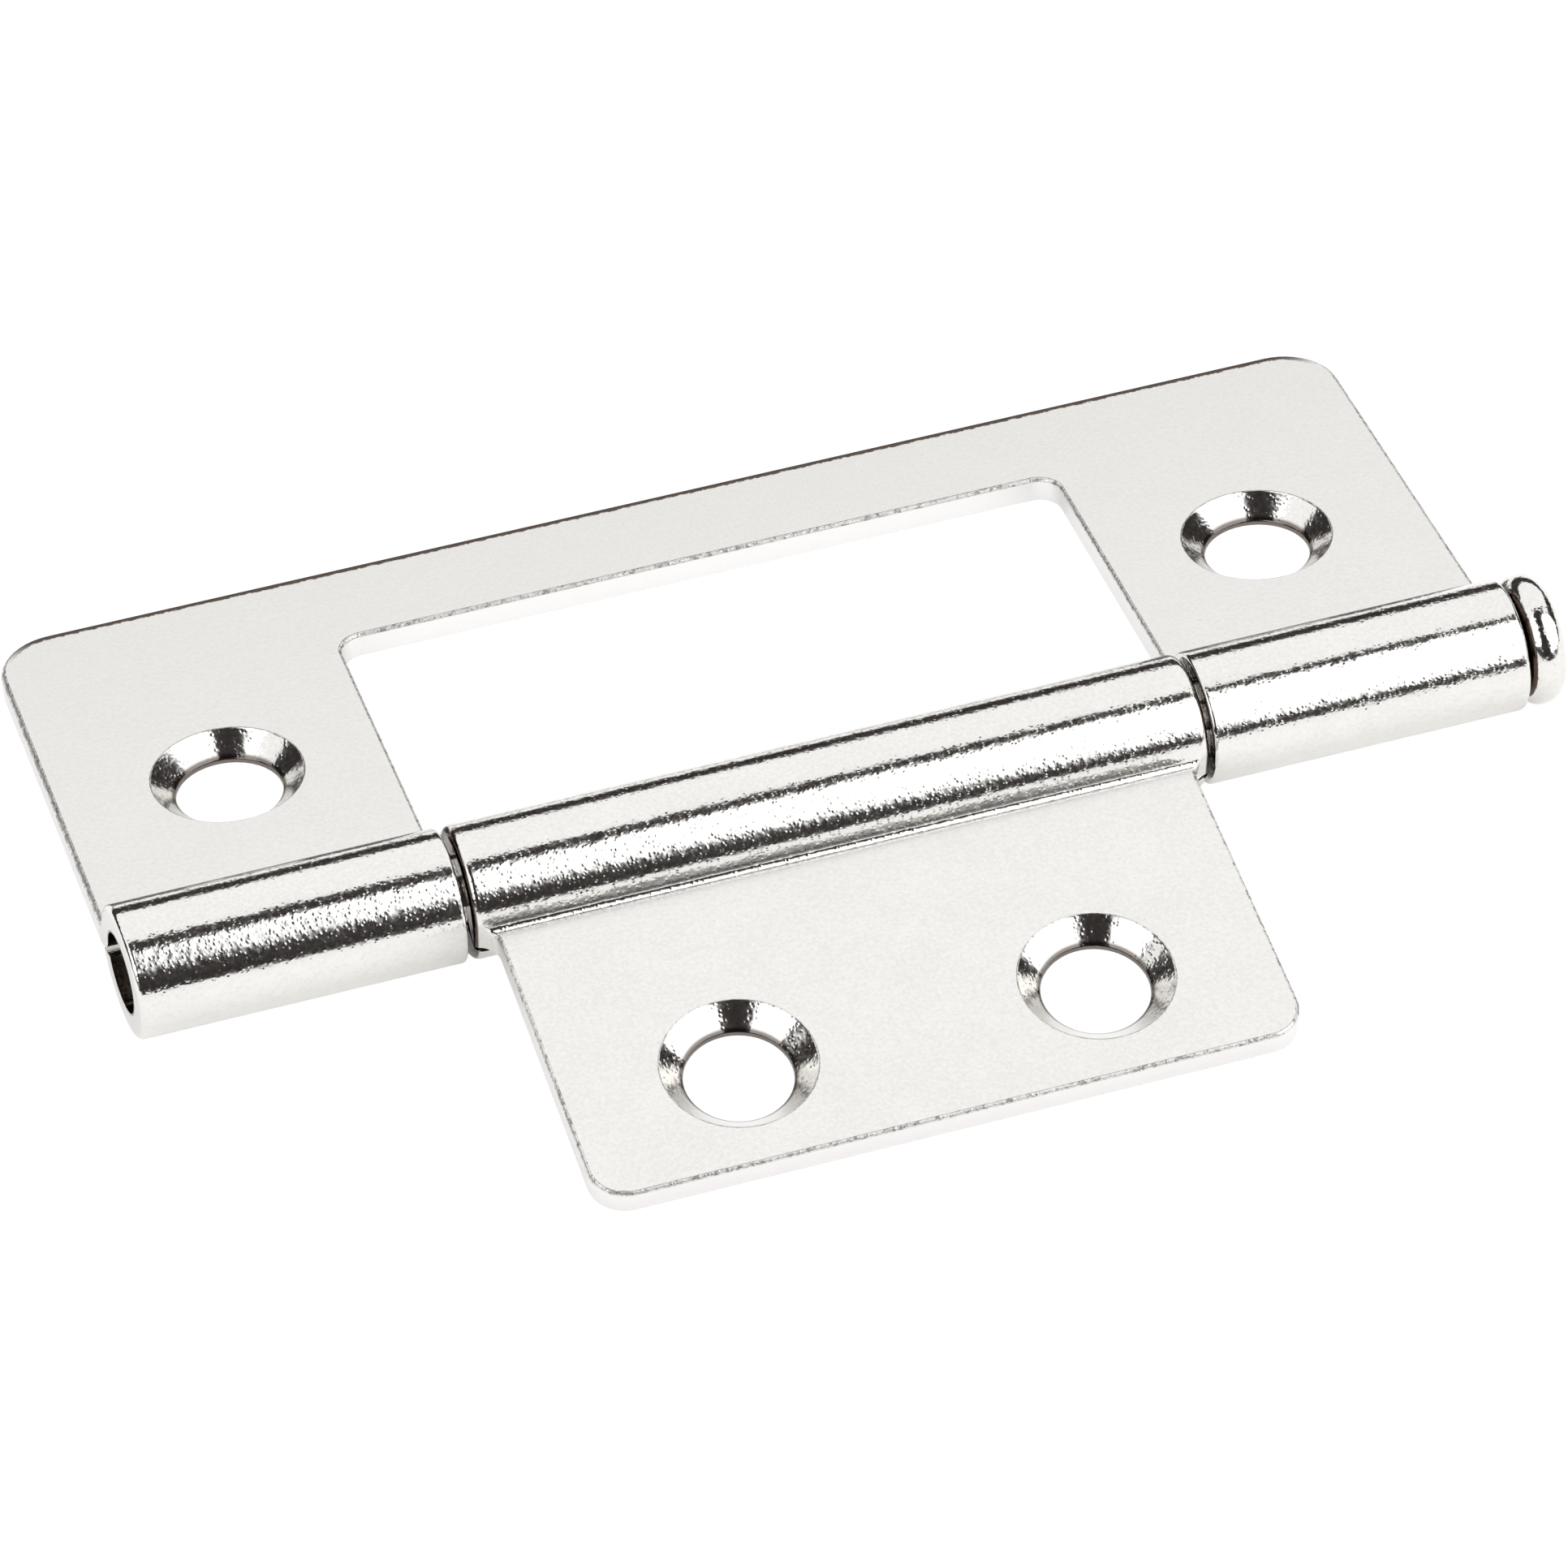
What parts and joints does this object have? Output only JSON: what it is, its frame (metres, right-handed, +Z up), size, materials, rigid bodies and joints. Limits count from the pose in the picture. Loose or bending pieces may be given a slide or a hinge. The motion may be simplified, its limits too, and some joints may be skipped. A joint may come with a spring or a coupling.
{
  "type": "non-mortise butt hinge",
  "caption": "Flush non-mortise hinge in bright nickel plate: a framed outer leaf, an inner leaf that nests in its window, and a loose button-headed pin.",
  "frame": {"origin": "bottom centre of the hinge as it lies open and face up, on its barrel and both free edges", "axes": "+X along the pin towards its head, +Y from the pin towards the outer leaf, +Z up, out of the countersunk faces"},
  "size_m": [0.0788, 0.0506, 0.0071],
  "materials": {
    "leaf_plate": "pressed steel, bright nickel plated: satin on the flats, polished on the barrel",
    "pin_plate": "steel, bright nickel plated, polished head"
  },
  "bodies": {
    "frame_leaf": {"outer_leaf": "leaf_plate"},
    "swing_leaf": {"inner_leaf": "leaf_plate"},
    "pin": {"hinge_pin": "pin_plate"}
  },
  "joints": [
    {"name": "leaf_swing", "type": "hinge", "parent": "frame_leaf", "child": "swing_leaf", "pos_m": [-0.00133, -0.00371, 0.00358], "axis": [-1, 0, 0], "continuous": true},
    {"name": "pin_pull", "type": "slide", "parent": "frame_leaf", "child": "pin", "axis": [1, 0, 0], "range_m": [0, 0.078]}
  ]
}
